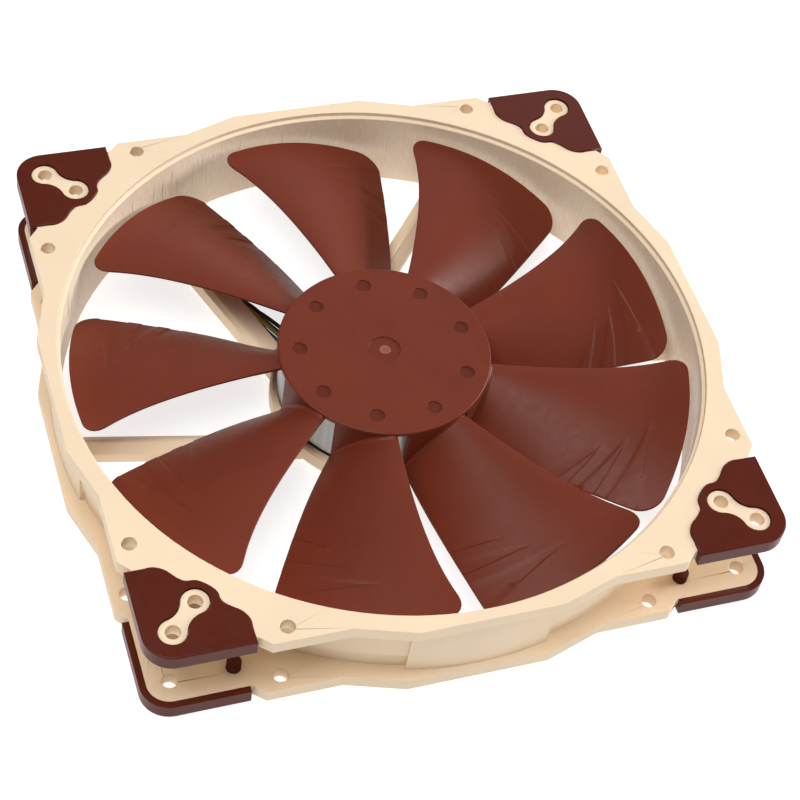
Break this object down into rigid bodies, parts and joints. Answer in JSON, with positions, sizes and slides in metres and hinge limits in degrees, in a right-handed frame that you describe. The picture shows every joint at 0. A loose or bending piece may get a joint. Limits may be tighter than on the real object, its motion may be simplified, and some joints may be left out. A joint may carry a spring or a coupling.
{
  "type": "case fan",
  "caption": "Square axial cooling fan with a shallow frame, wide swept blades, corner pads and a motor on slanted struts.",
  "frame": {"origin": "on the spin axis, at the plane of the exhaust-side pads that the fan lies on", "axes": "+Z along the spin axis towards the intake side, +X and +Y along the frame's sides, with the cable leaving at the +Y side"},
  "size_m": [0.2, 0.2199, 0.03],
  "materials": {
    "frame_plastic": "moulded beige plastic, satin, fine grain",
    "impeller_plastic": "moulded red-brown plastic, satin",
    "pad_silicone": "dark brown silicone, soft satin",
    "can_steel": "drawn steel, lightly oiled",
    "magnet": "bonded ferrite ring",
    "shaft_steel": "ground hardened steel",
    "brass": "turned brass",
    "bronze": "oil-filled sintered bronze",
    "nylon": "natural nylon",
    "lamination_steel": "stacked electrical steel",
    "copper_enamel": "enamelled copper winding",
    "board": "green solder mask on glass laminate",
    "black_plastic": "black moulded plastic",
    "ceramic_tan": "ceramic chip capacitor",
    "tin": "tinned contact metal",
    "label": "plain paper label, no print",
    "wire_black": "wire insulation",
    "wire_yellow": "wire insulation",
    "wire_green": "wire insulation",
    "wire_blue": "wire insulation",
    "braid_black": "black braided sleeve",
    "shrink_black": "black shrink tube and tie"
  },
  "bodies": {
    "frame_body": {"frame": "frame_plastic", "intake_pad_front_left": "pad_silicone", "intake_pad_front_right": "pad_silicone", "intake_pad_back_right": "pad_silicone", "intake_pad_back_left": "pad_silicone", "exhaust_pad_front_left": "pad_silicone", "exhaust_pad_front_right": "pad_silicone", "exhaust_pad_back_right": "pad_silicone", "exhaust_pad_back_left": "pad_silicone", "bearing_tube": "brass", "bearing_sleeve": "bronze", "oil_seal": "nylon", "thrust_disc": "nylon", "stator_core": "lamination_steel", "insulator_upper": "nylon", "insulator_lower": "nylon", "coil_1": "copper_enamel", "coil_2": "copper_enamel", "coil_3": "copper_enamel", "coil_4": "copper_enamel", "circuit_board": "board", "driver_chip": "black_plastic", "hall_sensor": "black_plastic", "capacitors": "ceramic_tan", "resistors": "black_plastic", "solder_pins": "tin", "rear_label": "label", "wire_black": "wire_black", "wire_yellow": "wire_yellow", "wire_green": "wire_green", "wire_blue": "wire_blue", "cable_sleeve": "braid_black", "shrink_tube_fan_end": "shrink_black", "cable_hank": "braid_black", "cable_tie": "shrink_black", "shrink_tube_plug_end": "shrink_black", "plug_housing": "black_plastic", "plug_contacts": "tin"},
    "rotor": {"impeller": "impeller_plastic", "rotor_can": "can_steel", "magnet_ring": "magnet", "shaft": "shaft_steel", "shaft_bush": "brass", "shaft_clip": "shaft_steel"}
  },
  "joints": [
    {"name": "impeller_spin", "type": "hinge", "parent": "frame_body", "child": "rotor", "pos_m": [0, 0, 0.016], "axis": [0, 0, 1], "continuous": true}
  ]
}
